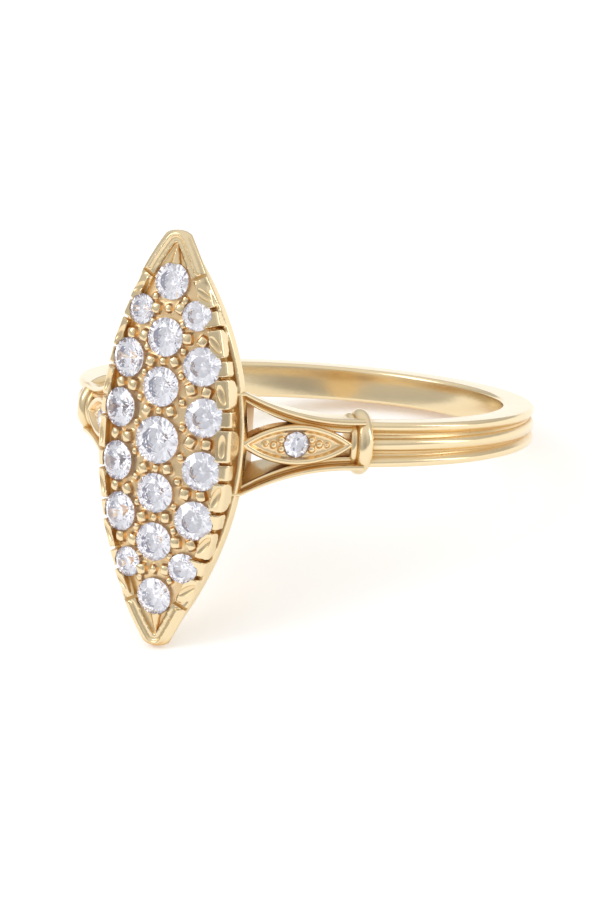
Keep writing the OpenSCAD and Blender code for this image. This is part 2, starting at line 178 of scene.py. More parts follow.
def bridge_stack(lines, name, ring=False):
    """Join outlines that have equal numbers of points, and bridge each to the next one."""
    count = len(lines[0].data.vertices)
    stack = join(lines, name)
    edit(stack, "EDGE")
    for i in range(len(lines) if ring else len(lines) - 1):
        two = (i, (i + 1) % len(lines))
        pick(stack, lambda edge: edge.vertices[0] // count == edge.vertices[1] // count
             and edge.vertices[0] // count in two, "edges")
        bpy.ops.mesh.bridge_edge_loops()
    close()
    return stack


def open_edges(piece):
    """How many edges of a mesh don't have exactly two faces."""
    uses = {}
    for face in piece.data.polygons:
        for key in face.edge_keys:
            uses[key] = uses.get(key, 0) + 1
    return sum(1 for key in piece.data.edge_keys if uses.get(key, 0) != 2)


def block_of(name, centre, size):
    """A cube stretched in edit mode to a size about its centre."""
    bpy.ops.object.select_all(action="DESELECT")
    bpy.ops.mesh.primitive_cube_add(size=1, location=centre)
    block = place(newest(name), Matrix.Identity(4))
    edit_all(block)
    bpy.ops.transform.resize(value=size, center_override=centre)
    close()
    return block


def triangles(piece):
    """How many triangles a piece's faces make."""
    return sum(len(face.vertices) - 2 for face in piece.data.polygons)


def finish_gold(piece, angle=32, metal=None):
    """Lay a finished piece down on the table in gold, in place of the solid mount."""
    smooth(piece, angle)
    piece.data.materials.clear()
    piece.data.materials.append(metal or gold)
    place(piece, BENCH_TO_TABLE)
    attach(piece, "root")
    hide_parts("mount")
    print(piece.name, triangles(piece), "triangles")


# %% [markdown]
# ## Shader maths
# Writing a material as Python expressions keeps it readable. A `Wire` holds one socket, and an
# expression on wires adds the Math nodes. `Bench` adds any other node.

# %% Wires and nodes
class Wire:
    """One output socket, with arithmetic that adds Math nodes."""

    def __init__(self, bench, socket):
        self.bench = bench
        self.socket = socket

    def math(self, operation, *others, swap=False):
        """A Math node on this wire and others, in turned order when swapped."""
        values = [self, *others]
        if swap:
            values.reverse()
        return self.bench.node("ShaderNodeMath", {"operation": operation}, dict(enumerate(values)))

    def __add__(self, other):
        return self.math("ADD", other)

    def __radd__(self, other):
        return self.math("ADD", other)

    def __rsub__(self, other):
        return self.math("SUBTRACT", other, swap=True)

    def __mul__(self, other):
        return self.math("MULTIPLY", other)

    def __rmul__(self, other):
        return self.math("MULTIPLY", other)


class Bench:
    """A material's node tree with one method for every kind of node."""

    def __init__(self, tree):
        self.tree = tree

    def node(self, kind, settings=None, inputs=None, output=0):
        """Add a node, set its settings, and fill its inputs with wires or values."""
        new = self.tree.nodes.new(kind)
        for name, value in (settings or {}).items():
            setattr(new, name, value)
        for key, value in (inputs or {}).items():
            if isinstance(value, Wire):
                self.tree.links.new(value.socket, new.inputs[key])
            else:
                new.inputs[key].default_value = value
        return Wire(self, new.outputs[output])

    def surface(self, shader):
        """Wire a shader to the material's output."""
        end = self.tree.nodes.new("ShaderNodeOutputMaterial")
        self.tree.links.new(shader.socket, end.inputs["Surface"])


def new_material(name):
    """An empty material and the bench for its nodes."""
    material = bpy.data.materials.new(name)
    material.use_nodes = True
    material.node_tree.nodes.clear()
    return material, Bench(material.node_tree)


# %% [markdown]
# ## Gold
# Polished yellow gold takes its colour from its reflections alone: the base colour tints them
# and the metal has no colour of its own underneath. Fine handling marks vary the gloss, and the
# corners that a polishing brush can't reach stay duller. An ambient occlusion node finds those
# corners, and there painted shade also turns the base colour deeper and warmer. Between the
# stones the painted shade is warm rather than dark, since gold there reflects mostly gold.

# %% Gold materials
GOLD_BRIGHT = (0.87, 0.71, 0.45, 1)
# The three colours below are painted shade: the tones that narrow corners are painted with, in the
# polished gold, between the stones and inside the gallery.
GOLD_SHADE = (0.74, 0.50, 0.22, 1)
GOLD_GALLERY_PAINTED_SHADE = (0.66, 0.40, 0.15, 1)
GOLD_FIELD_PAINTED_SHADE = (0.88, 0.60, 0.31, 1)
CORNER_REACH = 0.0006
GALLERY_REACH = 0.0025
CLOUD_SCALE = 900.0
MARK_SCALE = 6000.0
MARK_DEPTH = 0.00001
ROUGH_CLEAN = 0.13
ROUGH_CLOUD = 0.09
ROUGH_CORNER = 0.22


def make_gold(name, deep, reach, darkest, lightest):
    """Polished gold whose narrow corners turn deeper in tone and less glossy.

    Reach is how far the corners are felt, and darkest and lightest are the openness at which a
    place has the painted shade colour and the bright colour.
    """
    material, bench = new_material(name)
    spot = bench.node("ShaderNodeTexCoord", output="Object")
    recess = bench.node("ShaderNodeAmbientOcclusion", {"samples": 8}, {"Distance": reach}, output="AO")
    open_metal = bench.node("ShaderNodeMapRange", {},
                            {"Value": recess, "From Min": darkest, "From Max": lightest})
    cloud = bench.node("ShaderNodeTexNoise", {}, {"Vector": spot, "Scale": CLOUD_SCALE, "Detail": 3.0})
    marks = bench.node("ShaderNodeTexNoise", {}, {"Vector": spot, "Scale": MARK_SCALE, "Detail": 4.0})
    # Painted shade: the base colour moves from the bright gold to the corner colour as the ambient
    # occlusion finds a narrower corner.
    tone = bench.node("ShaderNodeMix", {"data_type": "RGBA"},
                      {"Factor": open_metal, "A": deep, "B": GOLD_BRIGHT}, output="Result")
    roughness = ROUGH_CLEAN + ROUGH_CLOUD * cloud + ROUGH_CORNER * (1 - open_metal)
    bump = bench.node("ShaderNodeBump", {},
                      {"Strength": 0.12, "Distance": MARK_DEPTH, "Height": marks})
    metal = bench.node("ShaderNodeBsdfPrincipled", {}, {
        "Base Color": tone, "Metallic": 1.0, "Roughness": roughness, "Normal": bump})
    bench.surface(metal)
    print(name, len(material.node_tree.nodes), "nodes")
    return material


gold = make_gold("polished_yellow_gold", GOLD_SHADE, CORNER_REACH, 0.52, 0.97)
# Between the stones and in the leaves the painted shade is a warm orange gold, standing in for gold
# reflected in gold.
gold_field = make_gold("gold_between_the_stones", GOLD_FIELD_PAINTED_SHADE, CORNER_REACH, 0.42, 1.02)
# Inside the gallery the ambient occlusion reaches far, so painted shade turns much of the gallery a
# deep brownish gold.
gold_inside = make_gold("gold_inside_the_gallery", GOLD_GALLERY_PAINTED_SHADE, GALLERY_REACH, 0.15, 1.30)

# %% [markdown]
# ## Diamond
# The solids already have the real facets, so the light does most of the work: a clear stone with a
# high index throws most of the light back out of its crown, and a faint lilac glow is painted on to
# brighten it.

# %% Diamond material
diamond, bench = new_material("brilliant_cut_diamond")
# The faint lilac emission is a painted glow that brightens the stones.
clear_stone_with_painted_glow = bench.node("ShaderNodeBsdfPrincipled", {}, {
    "Base Color": (0.97, 0.97, 1.0, 1), "Roughness": 0.0, "IOR": 2.3, "Transmission Weight": 1.0,
    "Emission Color": (0.72, 0.72, 0.92, 1), "Emission Strength": 0.05})
bench.surface(clear_stone_with_painted_glow)

STONES = [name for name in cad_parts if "stone" in name]
for name in STONES:
    stone = bpy.data.objects[name]
    for slot in stone.material_slots:
        slot.material = diamond
print(len(STONES), "stones")

# %% [markdown]
# ## The shank
# The shank has a rounded rail along each edge and a reed along the middle, and it narrows to the
# back while the reeds keep their width. Its section is drawn once and spun round the finger hole.
# Then the rail on each side is turned a degree about the Y axis: that leans its whole circle in
# towards the back, and only the grooves get narrower.

# %% Sizes of the finger hole and shank
FINGER_R = 8.6
CREST_R = 10.0
GROOVE_R = 9.74
FRONT_HALF_W = 1.0
RAIL_R = 0.2
MID_REED_R = 0.31
COVE_R = 0.13
INNER_ROUND_R = 0.16
INNER_POINT_Z = 0.12
PAST_REED_Z = MID_REED_R + 0.1
EDGE_LEAN = math.radians(0.963)
COLLAR_ANGLE = math.radians(43.5)
COLLAR_X = CREST_R * math.cos(COLLAR_ANGLE)


def arc(centre, radius, start, end, steps):
    """Points of an arc in a plane, from one angle in degrees to another."""
    turns = [math.radians(start + (end - start) * i / steps) for i in range(steps + 1)]
    return [(centre[0] + radius * math.cos(turn), centre[1] + radius * math.sin(turn))
            for turn in turns]


def mirrored(half):
    """A half section in r and z, closed by its mirror image below."""
    return half + [(r, -z) for r, z in reversed(half)]


# %% Shank
rail_z = FRONT_HALF_W - RAIL_R
cove_z = (rail_z - RAIL_R + MID_REED_R) / 2
# From the finger outwards: the inner face and its round, the rail, the cove and half of the reed
shank_half = (
    [(FINGER_R, INNER_POINT_Z)]
    + arc((FINGER_R + INNER_ROUND_R, FRONT_HALF_W - INNER_ROUND_R), INNER_ROUND_R, 180, 90, 5)
    + arc((CREST_R - RAIL_R, rail_z), RAIL_R, 90, -38, 12)
    + arc((GROOVE_R + COVE_R, cove_z), COVE_R, 142, 218, 6)
    + arc((CREST_R - MID_REED_R, 0), MID_REED_R, 68, 6, 9))
shank = draw("shank", [(r, 0, z) for r, z in mirrored(shank_half)])
place(shank, Matrix.Rotation(COLLAR_ANGLE, 4, "Z"))
edit_all(shank)
bpy.ops.mesh.spin(steps=180, angle=2 * COLLAR_ANGLE - 2 * math.pi, center=(0, 0, 0), axis=(0, 0, 1))
for side in (1, -1):
    pick(shank, lambda vertex: side * vertex.co.z > PAST_REED_Z)
    bpy.ops.transform.rotate(value=side * EDGE_LEAN, orient_axis="Y",
                             center_override=(COLLAR_X, 0, 0))
close()
fix_normals(shank)
print("shank reaches z", max(vertex.co.z for vertex in shank.data.vertices))
finish_gold(shank, 40)

# %% [markdown]
# ## The collars
# Each collar is a bead turned round the shank, with a smaller bead on the side where the wires
# meet it. Its section is drawn once, spun about the shank's own direction, and bored with the
# finger hole so that nothing stands into it.

# %% Collars
COLLAR_R = 1.45
COLLAR_PROUD = 0.4
COLLAR_HALF_W = 0.5
BEAD_R = 0.38
SMALL_BEAD_R = 0.19
SMALL_BEAD_AT = (-0.36, 1.07)
HOLE_WIDER = {"collar": 0.02, "gallery": 0.04, "wire": 0.01}


def finger_tool(kind):
    """The finger hole as a cutter, a hair wider for each kind so that no two faces coincide."""
    bpy.ops.object.select_all(action="DESELECT")
    bpy.ops.mesh.primitive_cylinder_add(vertices=256, radius=FINGER_R + HOLE_WIDER[kind], depth=30)
    return newest("finger_tool")


def flipped(piece, name):
    """The same piece for the other side, with its own mesh, its faces turned outwards again."""
    image = copy_of(piece, name)
    place(image, Matrix.Diagonal((1, -1, 1, 1)))
    edit_all(image)
    bpy.ops.mesh.normals_make_consistent(inside=False)
    close()
    return image


# From the wires' side outwards: the small bead, then the large one round to its flat end
small_bead = arc(SMALL_BEAD_AT, SMALL_BEAD_R, 180, 45, 8)
bead = arc((COLLAR_HALF_W - BEAD_R, COLLAR_R - BEAD_R), BEAD_R, 155, -20, 16)
collar_section = [(SMALL_BEAD_AT[0] - SMALL_BEAD_R, 0)] + small_bead + bead + [(COLLAR_HALF_W, 0)]
collar_centre = CREST_R + COLLAR_PROUD - COLLAR_R
collar = draw("collar_right", [(collar_centre + r, along, 0) for along, r in collar_section],
              closed=False)
edit_all(collar)
bpy.ops.mesh.spin(steps=72, angle=2 * math.pi, center=(collar_centre, 0, 0), axis=(0, 1, 0))
close()
fix_normals(collar)
boolean(collar, finger_tool("collar"), "DIFFERENCE")
place(collar, Matrix.Rotation(COLLAR_ANGLE, 4, "Z"))
collar_left = flipped(collar, "collar_left")
for piece in (collar, collar_left):
    finish_gold(piece, 40)

# %% [markdown]
# ## The gallery
# The gallery lifts the head off the finger. It is a four-sided box with open inside, wider at
# the top than at the finger. A cube gives the four sides, its finger end is drawn in, and a
# smaller one of the same form hollows it.

# %% Gallery
BACK_X = 11.0
GALLERY_HALF_H = 2.3
GALLERY_FOOT = 7.9
GALLERY_WALL = 0.55
GALLERY_WALL_H = 0.42
GALLERY_INTO_HEAD = 0.3
GALLERY_SOFT = 0.07
GALLERY_TOP_HALF_W = 3.0
GALLERY_BOTTOM_HALF_W = 1.9
GALLERY_BOTTOM_HALF_H = 1.55


def gallery_block(name, wall, top_x, wall_h):
    """A cube whose end at the finger is drawn in, less a wall's thickness on its sides."""
    length = top_x - GALLERY_FOOT
    middle = GALLERY_FOOT + length / 2
    block = block_of(name, (middle, 0, 0),
                     (length, 2 * (GALLERY_TOP_HALF_W - wall), 2 * (GALLERY_HALF_H - wall_h)))
    edit(block)
    pick(block, lambda vertex: vertex.co.x < middle)
    bpy.ops.transform.resize(
        value=(1, (GALLERY_BOTTOM_HALF_W - wall) / (GALLERY_TOP_HALF_W - wall),
               (GALLERY_BOTTOM_HALF_H - wall_h) / (GALLERY_HALF_H - wall_h)),
        center_override=(GALLERY_FOOT, 0, 0))
    close()
    return block


gallery = gallery_block("gallery", 0, BACK_X + GALLERY_INTO_HEAD, 0)
hollow = gallery_block("gallery_hollow", GALLERY_WALL, BACK_X, GALLERY_WALL_H)
boolean(gallery, hollow, "DIFFERENCE")
boolean(gallery, finger_tool("gallery"), "DIFFERENCE")
soften = gallery.modifiers.new("soften", "BEVEL")
soften.width = GALLERY_SOFT
soften.segments = 3
soften.limit_method = "ANGLE"
apply_all(gallery)
finish_gold(gallery, 32, gold_inside)

# %% [markdown]
# ## The split shoulders
# From each collar two wires fan out to the head. Each wire is a strip on edge with two rails
# along its face: a bright outer rail, and an inner one that lies lower behind a groove. The
# section is drawn at the head and extruded station by station. At each station it is
# moved and stretched to the wire's width there, as one would with grab and scale.

# %% The shoulder's line
LEAF_START = Vector((11.45, 3.30, 0))
LEAF_END = Vector((7.7341, 6.65009, 0))
LEAF_L = (LEAF_END - LEAF_START).length
ALONG = (LEAF_END - LEAF_START).normalized()
HEADS_UP = Vector((0, 0, 1))
OUT = ALONG.cross(HEADS_UP)
SHOULDER = Matrix.Translation(LEAF_START) @ Matrix((ALONG, HEADS_UP, OUT)).transposed().to_4x4()
FORK_REACH = 4.3
WIRE_STATIONS = 24
WIRE_OVERRUN = 0.6
FLARE = 2.0
WIRE_AT_HEAD = (1.88, 2.30)
WIRE_AT_COLLAR = (0.50, 1.125)


def wire_edge(which, share):
    """How far a wire's inner or outer edge is from the middle, at a share of the way along."""
    at_head, at_collar = WIRE_AT_HEAD[which], WIRE_AT_COLLAR[which]
    return at_collar + (at_head - at_collar) * max(0.0, 1 - share) ** FLARE


# The share of the way across, from the inner edge to the outer edge, and the depth from the face
WIRE_SECTION = [
    (0.00, -FORK_REACH), (1.00, -FORK_REACH), (1.00, -0.16), (0.97, -0.08), (0.90, -0.02), (0.78, 0.0),
    (0.66, -0.02), (0.58, -0.08), (0.54, -0.20), (0.50, -0.30), (0.45, -0.31), (0.40, -0.26),
    (0.30, -0.22), (0.18, -0.21), (0.07, -0.24), (0.00, -0.32)]


# %% Wires
def wire(name):
    """A strip that starts inside the head, follows the two edge curves and ends in the collar."""
    inner, outer = wire_edge(0, 0), wire_edge(1, 0)
    strip = draw(name, [(-WIRE_OVERRUN, inner + across * (outer - inner), depth)
                        for across, depth in WIRE_SECTION])
    edit_all(strip)
    bpy.ops.mesh.edge_face_add()
    before_x, before_in, before_out = -WIRE_OVERRUN, inner, outer
    stations = [i / WIRE_STATIONS * LEAF_L for i in range(WIRE_STATIONS + 1)]
    for x in stations + [LEAF_L + WIRE_OVERRUN]:
        inner, outer = (wire_edge(which, x / LEAF_L) for which in (0, 1))
        stretch = (outer - inner) / (before_out - before_in)
        bpy.ops.mesh.extrude_region_move(TRANSFORM_OT_translate={"value": (x - before_x, 0, 0)})
        bpy.ops.transform.resize(value=(1, stretch, 1), center_override=(0, before_in, 0))
        bpy.ops.transform.translate(value=(0, inner - before_in, 0))
        before_x, before_in, before_out = x, inner, outer
    close()
    fix_normals(strip)
    return strip


upper_wire = wire("upper_wire_right")
lower_wire = flipped(upper_wire, "lower_wire_right")
for strip in (upper_wire, lower_wire):
    place(strip, SHOULDER)
    boolean(strip, finger_tool("wire"), "DIFFERENCE")
    image = flipped(strip, strip.name.replace("right", "left"))
    finish_gold(strip)
    finish_gold(image)

# %% [markdown]
# ## Melting together and drilling
# On the real ring a leaf and its grains, or the whole head, are one casting, so no joint shows. A
# voxel remesh melts joined pieces into one skin, and a little smoothing gives every corner the
# softness of cast metal that has been polished. Last the seats are drilled: a cutter with the slope
# of the stone's back, a short wall at its girdle, and a narrower mouth above, which lets grains and
# claws stand over the edge of the stone. Drilling last keeps the seats' edges sharp.

# %% Melt
def melt(pieces, name, voxel, rounds):
    """Turn overlapping pieces into one soft-cornered skin."""
    skin = join(pieces, name)
    merge_step = skin.modifiers.new("melt", "REMESH")
    merge_step.mode = "VOXEL"
    merge_step.voxel_size = voxel
    soften_step = skin.modifiers.new("soften", "SMOOTH")
    soften_step.factor = 0.5
    soften_step.iterations = rounds
    apply_all(skin)
    print(name, triangles(skin), "triangles")
    return skin


# %% Seats
SEAT_GAP = 0.03
GIRDLE_LIFT = 0.06
HOLE_SHARE = 0.42
PAVILION_SHARE = 0.42
GIRDLE_SHARE = 0.03
MOUTH_RISE = 0.12
MOUTH_FLARE = 0.1
DRILL_TOP = 1.5


def seat_cutter(d, lift, depth, mouth):
    """A drill of the shape of a stone's back, spun about Z.

    Lift is the height of the girdle's middle, and mouth is how much narrower the opening is.
    """
    girdle = lift - d * GIRDLE_SHARE / 2
    top_r = d / 2 + SEAT_GAP
    hole_r = d * HOLE_SHARE / 2
    cone_h = (1 - hole_r / top_r) * d * PAVILION_SHARE
    side_line = [(0, -depth), (hole_r, -depth), (hole_r, girdle - SEAT_GAP - cone_h),
                 (top_r, girdle - SEAT_GAP), (top_r, girdle + d * GIRDLE_SHARE + SEAT_GAP),
                 (d / 2 - mouth, girdle + MOUTH_RISE), (d / 2 - mouth - MOUTH_FLARE, DRILL_TOP),
                 (0, DRILL_TOP)]
    cutter = draw("seat_cutter", [(r, 0, z) for r, z in side_line], closed=False)
    edit_all(cutter)
    bpy.ops.mesh.spin(steps=48, angle=2 * math.pi, center=(0, 0, 0), axis=(0, 0, 1))
    close()
    fix_normals(cutter)
    return cutter


# %% [markdown]
# ## The leaves
# Between the wires lies a leaf: a pointed frame with a narrow ridge round a sunken field, where
# a small stone sits between rows of grains. The frame is a stack of leaf outlines, each two arcs
# with the same number of points, and bridging them in order makes its walls.

# %% Leaf
LEAF_HALF_W = 0.91
LEAF_EXTRA = 0.18
LEAF_REACH = LEAF_L / 2 + LEAF_EXTRA
LEAF_R = (LEAF_HALF_W ** 2 + LEAF_REACH ** 2) / (2 * LEAF_HALF_W)
LEAF_T = 1.1
FIELD_DROP = 0.24
ARC_POINTS = 28


def leaf_outline(name, inset, depth):
    """A pointed outline of two arcs, drawn at a depth below the face."""
    radius = LEAF_R - inset
    offset = LEAF_R - LEAF_HALF_W
    half_l = math.sqrt(radius ** 2 - offset ** 2)
    reach = math.degrees(math.asin(half_l / radius))
    upper = arc((LEAF_L / 2, -offset), radius, 90 + reach, 90 - reach, ARC_POINTS)
    lower = arc((LEAF_L / 2, offset), radius, -90 + reach, -90 - reach, ARC_POINTS)
    return draw(name, [(x, y, depth) for x, y in upper[:-1] + lower[:-1]])


# How far inside the outline and how high each ring of the frame is, from its back to the field
LEAF_STACK = [(0.03, -LEAF_T), (0, -0.20), (0.02, -0.09), (0.08, -0.02), (0.15, 0), (0.23, -0.03),
              (0.36, -FIELD_DROP)]
frame_lines = [leaf_outline("leaf_line", inset, depth) for inset, depth in LEAF_STACK]
leaf = bridge_stack(frame_lines, "leaf_right")
edit_all(leaf, "EDGE")
bpy.ops.mesh.fill_holes(sides=0)
close()
fix_normals(leaf)
print("leaf", len(leaf.data.polygons), "faces,", open_edges(leaf), "open edges")

# %% Grains and seat of the leaf
SHOULDER_STONE_D = 1.16
SHOULDER_DRILL = 2.0
SHOULDER_MOUTH = 0.13
SHOULDER_SEAT_RISE = 1.5
LEAF_GRAIN_Z = 0.02 - FIELD_DROP
LEAF_VOXEL = 0.04
# Along the leaf from its middle, across it, and the radius
LEAF_GRAINS = [(0.70, 0.20, 0.17), (0.70, -0.20, 0.17), (1.05, 0.02, 0.17), (1.40, -0.02, 0.12)]
leaf_beads = []
for side in (1, -1):
    for along, across, radius in LEAF_GRAINS:
        bpy.ops.object.select_all(action="DESELECT")
        bpy.ops.mesh.primitive_ico_sphere_add(
            subdivisions=3, radius=radius,
            location=(LEAF_L / 2 + side * along, side * across, LEAF_GRAIN_Z))
        leaf_beads.append(newest("leaf_grain"))
leaf = melt([leaf] + leaf_beads, "leaf_right", LEAF_VOXEL, rounds=3)
drill = seat_cutter(SHOULDER_STONE_D, 0.0, SHOULDER_DRILL, SHOULDER_MOUTH)
seat_z = -FIELD_DROP + SHOULDER_STONE_D * GIRDLE_SHARE * SHOULDER_SEAT_RISE
place(drill, Matrix.Translation((LEAF_L / 2, 0, seat_z)))
boolean(leaf, drill, "DIFFERENCE")
place(leaf, SHOULDER)
leaf_left = flipped(leaf, "leaf_left")
for piece in (leaf, leaf_left):
    finish_gold(piece, 35, gold_field)

# %% [markdown]
# ## The head's form
# Seen from the front the head is a pointed oval: two long arcs that run into small round tips.
# From the side it is domed both ways, and its underside curves up to the tips like a boat. These
# helpers say where the dome and the underside are, so every part of the head can follow them.

# %% Sizes of the head
DOME_X = 13.2
CROSS_R = 7.0
LONG_R = 46.0
HEAD_HALF_W = 3.15
HEAD_HALF_L = 9.15
TIP_R = 0.6
TIP_Z = HEAD_HALF_L - TIP_R
OUTLINE_R = 16.2088
OUTLINE_Y = OUTLINE_R - HEAD_HALF_W
TIP_LEAN = math.degrees(math.asin(TIP_Z / (OUTLINE_R - TIP_R)))
UNDER_R = 26.0
RAIL_H = 0.6
RIM_LIFT = 0.3
TIP_THICKNESS = 0.30
TIP_FOOT_LIFT = RIM_LIFT - 0.14
SHARP_TIP = 0.03
SHARP_TIP_R = 0.002
SHARP_TIP_LEAN = 0.01


def dome_x(y, z, lift=0.0):
    """How far out the domed face is over a place on the head."""
    ridge = LONG_R - CROSS_R + math.sqrt((CROSS_R + lift) ** 2 - y * y)
    return DOME_X - LONG_R + math.sqrt(ridge * ridge - z * z)


def under_x(z, lift=0.0):
    """How far out the boat-shaped underside is."""
    return BACK_X + UNDER_R - math.sqrt((UNDER_R - lift) ** 2 - z * z)


def foot_x(y, z, lift=0.0):
    """The underside of the rim, which stays a little under the rim's top at the tips."""
    thin = TIP_THICKNESS * max(0.0, 1 - lift / RAIL_H)
    return min(under_x(z, lift), dome_x(y, z, TIP_FOOT_LIFT) - thin)


def on_dome(y, z):
    """A frame whose Z points out of the dome at a place on the head."""
    lean_y = math.asin(y / CROSS_R)
    lean_z = math.asin(z / LONG_R)
    ridge = LONG_R - CROSS_R * (1 - math.cos(lean_y))
    spot = (DOME_X - LONG_R + ridge * math.cos(lean_z), y, ridge * math.sin(lean_z))
    return (Matrix.Translation(spot) @ Matrix.Rotation(-lean_z, 4, "Y")
            @ Matrix.Rotation(lean_y, 4, "Z") @ Matrix.Rotation(math.pi / 2, 4, "Y"))


def oval(grow, steps=72, tip_steps=12):
    """The pointed oval in y and z, always with the same number of points.

    When it grows, it grows sideways only. When it shrinks so far that the round tip would turn
    inside out, its two long arcs meet in a sharp tip instead.
    """
    long_r = OUTLINE_R + grow
    tip, tip_z, lean = TIP_R + grow, TIP_Z, TIP_LEAN
    if tip < SHARP_TIP:
        tip = SHARP_TIP_R
        lean = math.degrees(math.acos(OUTLINE_Y / long_r)) - SHARP_TIP_LEAN
        tip_z = (long_r - tip) * math.sin(math.radians(lean))
    right = arc((-OUTLINE_Y, 0), long_r, -lean, lean, steps)
    top = arc((0, tip_z), tip, lean, 180 - lean, tip_steps)
    left = arc((OUTLINE_Y, 0), long_r, 180 - lean, 180 + lean, steps)
    corner_z = right[-1][1]
    if grow > 0:
        squeeze = (HEAD_HALF_L - corner_z) / (HEAD_HALF_L + grow - corner_z)
        top = [(y, corner_z + (z - corner_z) * squeeze) for y, z in top]
    foot = [(-y, -z) for y, z in top]
    return right[:-1] + top[:-1] + left[:-1] + foot[:-1]


def on_foot(lift):
    """A height that follows the underside of the rim."""
    return lambda y, z: foot_x(y, z, lift)


def over_dome(lift):
    """A height that follows the dome."""
    return lambda y, z: dome_x(y, z, lift)


def head_ring(name, stack):
    """A ring of metal that follows the oval, from pairs of growth and height."""
    lines = [draw("ring_line", [(height(y, z), y, z) for y, z in oval(grow)])
             for grow, height in stack]
    return bridge_stack(lines, name, ring=True)


# %% [markdown]
# ## The wall of the head
# A smooth rail runs right round the foot of the head, and a groove parts it from the cut work
# above. Both are one stack of the same oval at different heights and growths.

# %% Wall
RAIL_OUT = 0.15
WALL_INSET = 0.52
GROOVE_INSET = 0.28
GROOVE_TOP_INSET = 0.30
WALL_MIN_H = RAIL_H + 0.10


def on_wall(lift):
    """A height that follows the dome, but stays above the rail at the tips."""
    return lambda y, z: max(dome_x(y, z, lift), foot_x(y, z, WALL_MIN_H))


wall = head_ring("head_wall", [
    (-WALL_INSET, on_foot(0.02)),
    (RAIL_OUT - 0.12, on_foot(0.0)),
    (RAIL_OUT - 0.03, on_foot(0.04)),
    (RAIL_OUT, on_foot(0.14)),
    (RAIL_OUT, on_foot(RAIL_H - 0.14)),
    (RAIL_OUT - 0.03, on_foot(RAIL_H - 0.05)),
    (RAIL_OUT - 0.11, on_foot(RAIL_H)),
    (-GROOVE_INSET, on_foot(RAIL_H + 0.02)),
    (-GROOVE_TOP_INSET, on_wall(-0.10)),
    (-WALL_INSET, on_wall(-0.14))])
fix_normals(wall)
print("wall", triangles(wall), "open edges", open_edges(wall))

# %% [markdown]
# ## Lobes and claws
# Above the groove the rim is sawn into pieces. Beside each stone a narrow claw is pressed over
# the girdle. Between claws stands a broader lobe, rounded at its foot like a petal, with a dish
# scooped out of its sloping face. Each is a block: its foot and shoulder are bevelled round and its
# top is sloped. The scoop is a ball drawn out to an oval, and it cuts after the rim is melted.

# %% Lobe and claw
SLOT_W = 0.14
SIDE_Z = (5.5632, 3.4038, 1.18035, -1.18035, -3.4038, -5.5632)
CLAW_L = 0.68
TIP_SLOT_Z = 7.29
RIM_SLOPE = 0.62
LOBE_W = 0.50
LOBE_OUT = 0.10
LOBE_MIN_H = 0.75
LOBE_FOOT_R = 0.55
LOBE_SHOULDER_R = 0.12
LOBE_ROUND_L = 0.45
LOBE_ROUND_H = 0.7
CLAW_W = 0.68
CLAW_OUT = 0.12
CLAW_H = 1.0
CLAW_FOOT_R = 0.14
CLAW_SHOULDER_R = 0.10
SCOOP_TURN = 5
SCOOP_DEEP = 0.26
SCOOP_W = 0.40
SCOOP_SHARE = 0.78
SCOOP_LIFT = 0.04
SLOT_FLOOR = 0.42
TIP_SLOT_W = 0.15
SAW_DEEP = 2.0
SAW_ACROSS = 1.0
SAW_OUT = -0.2
HAIR = 0.001


def petal(name, length, height, width, foot_r, shoulder_r):
    """A block with a sloping top, a rounded foot and a rounded outer shoulder."""
    block = block_of(name, (-height / 2, -width / 2, 0), (height, width, length))
    drop = RIM_SLOPE * width

    def ends(edge):
        return [block.data.vertices[v].co for v in edge.vertices]

    def across_foot(edge):
        one, other = ends(edge)
        return max(one.x, other.x) < HAIR - height and abs(one.z - other.z) < HAIR

    def outer_shoulder(edge):
        return all(end.y > -HAIR and end.x > -drop - HAIR for end in ends(edge))

    edit(block, "EDGE")
    pick(block, across_foot, "edges")
    bpy.ops.mesh.bevel(offset=foot_r, segments=6, affect="EDGES")
    pick(block, lambda vertex: vertex.co.x > -HAIR and vertex.co.y > -HAIR)
    bpy.ops.transform.translate(value=(-drop, 0, 0))
    pick(block, outer_shoulder, "edges")
    bpy.ops.mesh.bevel(offset=shoulder_r, segments=4, affect="EDGES")
    close()
    return block


def on_rim(side, z):
    """A frame on the rim: X out of the head, Y outwards, Z along the rim."""
    here = (Matrix.Translation((0, -OUTLINE_Y, 0)) @ Matrix.Rotation(math.asin(z / OUTLINE_R), 4, "X")
            @ Matrix.Translation((0, OUTLINE_R, 0)))
    return Matrix.Diagonal((1, side, 1, 1)) @ here


def rim_top(z, inwards):
    """The height of the rim's top over a place so far inside the outline."""
    return dome_x(math.sqrt(OUTLINE_R ** 2 - z * z) - OUTLINE_Y - inwards, z, RIM_LIFT)


def set_on_rim(block, side, z, width, out):
    """Put a block on the rim with its inner top edge at the rim's height."""
    place(block, on_rim(side, z) @ Matrix.Translation((rim_top(z, width - out), out, 0))
          @ Matrix.Rotation(-math.asin(z / LONG_R), 4, "Y"))
    fix_normals(block)
    return block


def scoop(side, z, length):
    """A ball drawn out to an oval, set to dish the sloping face of a lobe."""
    bpy.ops.object.select_all(action="DESELECT")
    bpy.ops.mesh.primitive_uv_sphere_add(segments=32, ring_count=16, radius=0.5)
    ball = place(newest("scoop"), Matrix.Diagonal((SCOOP_DEEP, SCOOP_W, SCOOP_SHARE * length, 1)))
    face_x = rim_top(z, LOBE_W - LOBE_OUT) - LOBE_W / 2 * RIM_SLOPE
    return place(ball, on_rim(side, z)
                 @ Matrix.Translation((face_x + SCOOP_LIFT, LOBE_OUT - LOBE_W / 2, 0))
                 @ Matrix.Rotation(math.atan(RIM_SLOPE), 4, "Z")
                 @ Matrix.Rotation(math.radians(SCOOP_TURN * z), 4, "X"))


